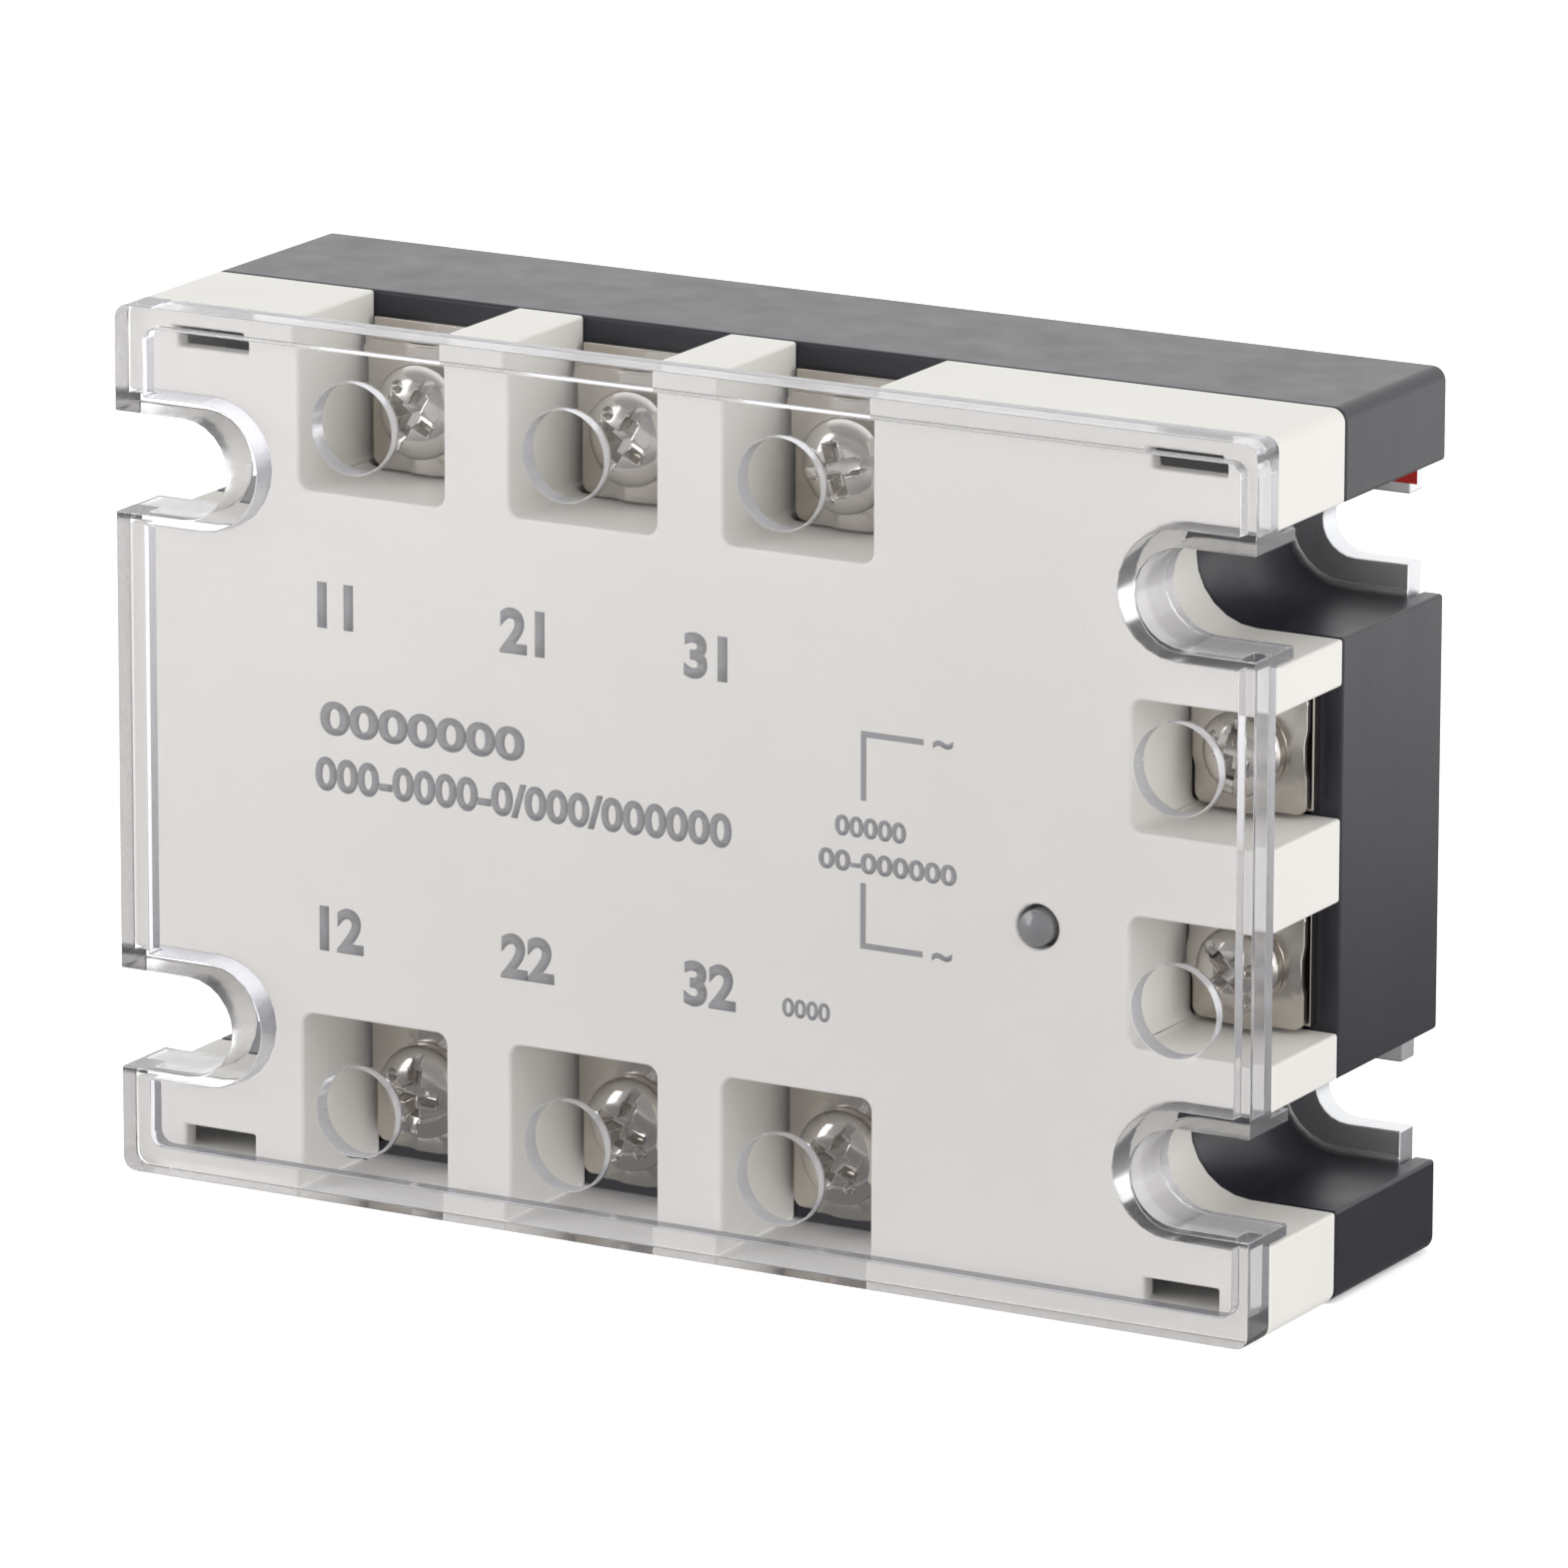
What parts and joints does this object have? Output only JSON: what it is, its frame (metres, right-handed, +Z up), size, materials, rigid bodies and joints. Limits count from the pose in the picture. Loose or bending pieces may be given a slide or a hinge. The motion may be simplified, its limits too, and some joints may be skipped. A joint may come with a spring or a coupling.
{
  "type": "solid state relay",
  "caption": "Three-phase solid state relay block with a clear pull-off cover, saddle-clamp screw terminals in open bays, and a slotted metal base plate.",
  "frame": {"origin": "middle of the bottom edge face, half way between the cover's front and the base plate's back", "axes": "+X towards the two input terminals, +Y towards the base plate and the heatsink, +Z up towards the line terminals"},
  "size_m": [0.105, 0.033, 0.0735],
  "materials": {
    "aluminium": "fine brushed",
    "black_plastic": "satin black with a fine grain",
    "ivory_plastic": "satin ivory",
    "clear_plastic": "clear and polished",
    "nickel_plate": "nickel-plated copper alloy, semi-bright",
    "nickel_steel": "nickel-plated steel, bright",
    "bright_steel": "zinc-plated",
    "board_resin": "green solder resist",
    "grey_lens": "smoky and translucent",
    "ceramic": "fired alumina",
    "silicon": "dark and polished",
    "tinned_copper": "tinned",
    "moulded_black": "moulded epoxy",
    "film_box": "satin box",
    "resistor_coat": "lacquered"
  },
  "bodies": {
    "relay_body": {"base_plate": "aluminium", "lower_case": "black_plastic", "upper_housing": "ivory_plastic", "line_1_busbar": "nickel_plate", "line_2_busbar": "nickel_plate", "line_3_busbar": "nickel_plate", "load_1_busbar": "nickel_plate", "load_2_busbar": "nickel_plate", "load_3_busbar": "nickel_plate", "input_1_busbar": "nickel_plate", "input_2_busbar": "nickel_plate", "line_1_nut": "bright_steel", "line_2_nut": "bright_steel", "line_3_nut": "bright_steel", "load_1_nut": "bright_steel", "load_2_nut": "bright_steel", "load_3_nut": "bright_steel", "input_1_nut": "bright_steel", "input_2_nut": "bright_steel", "driver_board": "board_resin", "indicator_led": "grey_lens", "bridge_rectifier": "moulded_black", "film_capacitor": "film_box", "dropping_resistor": "resistor_coat", "optocoupler_1": "moulded_black", "optocoupler_2": "moulded_black", "optocoupler_3": "moulded_black", "substrate_1": "ceramic", "substrate_2": "ceramic", "substrate_3": "ceramic", "thyristor_1a": "silicon", "thyristor_1b": "silicon", "thyristor_2a": "silicon", "thyristor_2b": "silicon", "thyristor_3a": "silicon", "thyristor_3b": "silicon", "gate_pin_1a": "tinned_copper", "gate_pin_1b": "tinned_copper", "gate_pin_2a": "tinned_copper", "gate_pin_2b": "tinned_copper", "gate_pin_3a": "tinned_copper", "gate_pin_3b": "tinned_copper"},
    "cover": {"clear_cover": "clear_plastic"},
    "line_1_clamp_body": {"line_1_clamp": "nickel_steel"},
    "line_1_screw_body": {"line_1_screw": "nickel_steel"},
    "line_2_clamp_body": {"line_2_clamp": "nickel_steel"},
    "line_2_screw_body": {"line_2_screw": "nickel_steel"},
    "line_3_clamp_body": {"line_3_clamp": "nickel_steel"},
    "line_3_screw_body": {"line_3_screw": "nickel_steel"},
    "load_1_clamp_body": {"load_1_clamp": "nickel_steel"},
    "load_1_screw_body": {"load_1_screw": "nickel_steel"},
    "load_2_clamp_body": {"load_2_clamp": "nickel_steel"},
    "load_2_screw_body": {"load_2_screw": "nickel_steel"},
    "load_3_clamp_body": {"load_3_clamp": "nickel_steel"},
    "load_3_screw_body": {"load_3_screw": "nickel_steel"},
    "input_1_clamp_body": {"input_1_clamp": "nickel_steel"},
    "input_1_screw_body": {"input_1_screw": "nickel_steel"},
    "input_2_clamp_body": {"input_2_clamp": "nickel_steel"},
    "input_2_screw_body": {"input_2_screw": "nickel_steel"}
  },
  "joints": [
    {"name": "cover_pull", "type": "slide", "parent": "relay_body", "child": "cover", "axis": [0, -1, 0], "range_m": [0, 0.03]},
    {"name": "line_1_clamp_lift", "type": "slide", "parent": "relay_body", "child": "line_1_clamp_body", "axis": [0, -1, 0], "range_m": [-0.0005, 0.003]},
    {"name": "line_1_screw_turn", "type": "hinge", "parent": "line_1_clamp_body", "child": "line_1_screw_body", "pos_m": [-0.0299, 0, 0.06485], "axis": [0, -1, 0], "range_deg": [-259, 1544]},
    {"name": "line_2_clamp_lift", "type": "slide", "parent": "relay_body", "child": "line_2_clamp_body", "axis": [0, -1, 0], "range_m": [-0.0005, 0.003]},
    {"name": "line_2_screw_turn", "type": "hinge", "parent": "line_2_clamp_body", "child": "line_2_screw_body", "pos_m": [-0.01005, 0, 0.06485], "axis": [0, -1, 0], "range_deg": [-259, 1544]},
    {"name": "line_3_clamp_lift", "type": "slide", "parent": "relay_body", "child": "line_3_clamp_body", "axis": [0, -1, 0], "range_m": [-0.0005, 0.003]},
    {"name": "line_3_screw_turn", "type": "hinge", "parent": "line_3_clamp_body", "child": "line_3_screw_body", "pos_m": [0.0098, 0, 0.06485], "axis": [0, -1, 0], "range_deg": [-259, 1544]},
    {"name": "load_1_clamp_lift", "type": "slide", "parent": "relay_body", "child": "load_1_clamp_body", "axis": [0, -1, 0], "range_m": [-0.0005, 0.003]},
    {"name": "load_1_screw_turn", "type": "hinge", "parent": "load_1_clamp_body", "child": "load_1_screw_body", "pos_m": [-0.0299, 0, 0.00725], "axis": [0, -1, 0], "range_deg": [-259, 1544]},
    {"name": "load_2_clamp_lift", "type": "slide", "parent": "relay_body", "child": "load_2_clamp_body", "axis": [0, -1, 0], "range_m": [-0.0005, 0.003]},
    {"name": "load_2_screw_turn", "type": "hinge", "parent": "load_2_clamp_body", "child": "load_2_screw_body", "pos_m": [-0.01005, 0, 0.00725], "axis": [0, -1, 0], "range_deg": [-259, 1544]},
    {"name": "load_3_clamp_lift", "type": "slide", "parent": "relay_body", "child": "load_3_clamp_body", "axis": [0, -1, 0], "range_m": [-0.0005, 0.003]},
    {"name": "load_3_screw_turn", "type": "hinge", "parent": "load_3_clamp_body", "child": "load_3_screw_body", "pos_m": [0.0098, 0, 0.00725], "axis": [0, -1, 0], "range_deg": [-259, 1544]},
    {"name": "input_1_clamp_lift", "type": "slide", "parent": "relay_body", "child": "input_1_clamp_body", "axis": [0, -1, 0], "range_m": [-0.0005, 0.003]},
    {"name": "input_1_screw_turn", "type": "hinge", "parent": "input_1_clamp_body", "child": "input_1_screw_body", "pos_m": [0.0456, 0, 0.0456], "axis": [0, -1, 0], "range_deg": [-301, 1801]},
    {"name": "input_2_clamp_lift", "type": "slide", "parent": "relay_body", "child": "input_2_clamp_body", "axis": [0, -1, 0], "range_m": [-0.0005, 0.003]},
    {"name": "input_2_screw_turn", "type": "hinge", "parent": "input_2_clamp_body", "child": "input_2_screw_body", "pos_m": [0.0456, 0, 0.0279], "axis": [0, -1, 0], "range_deg": [-301, 1801]}
  ],
  "couplings": [
    {"joint": "line_1_screw_turn", "follows": "line_1_clamp_lift", "rad_per_m": 8976},
    {"joint": "line_2_screw_turn", "follows": "line_2_clamp_lift", "rad_per_m": 8976},
    {"joint": "line_3_screw_turn", "follows": "line_3_clamp_lift", "rad_per_m": 8976},
    {"joint": "load_1_screw_turn", "follows": "load_1_clamp_lift", "rad_per_m": 8976},
    {"joint": "load_2_screw_turn", "follows": "load_2_clamp_lift", "rad_per_m": 8976},
    {"joint": "load_3_screw_turn", "follows": "load_3_clamp_lift", "rad_per_m": 8976},
    {"joint": "input_1_screw_turn", "follows": "input_1_clamp_lift", "rad_per_m": 10472},
    {"joint": "input_2_screw_turn", "follows": "input_2_clamp_lift", "rad_per_m": 10472}
  ]
}
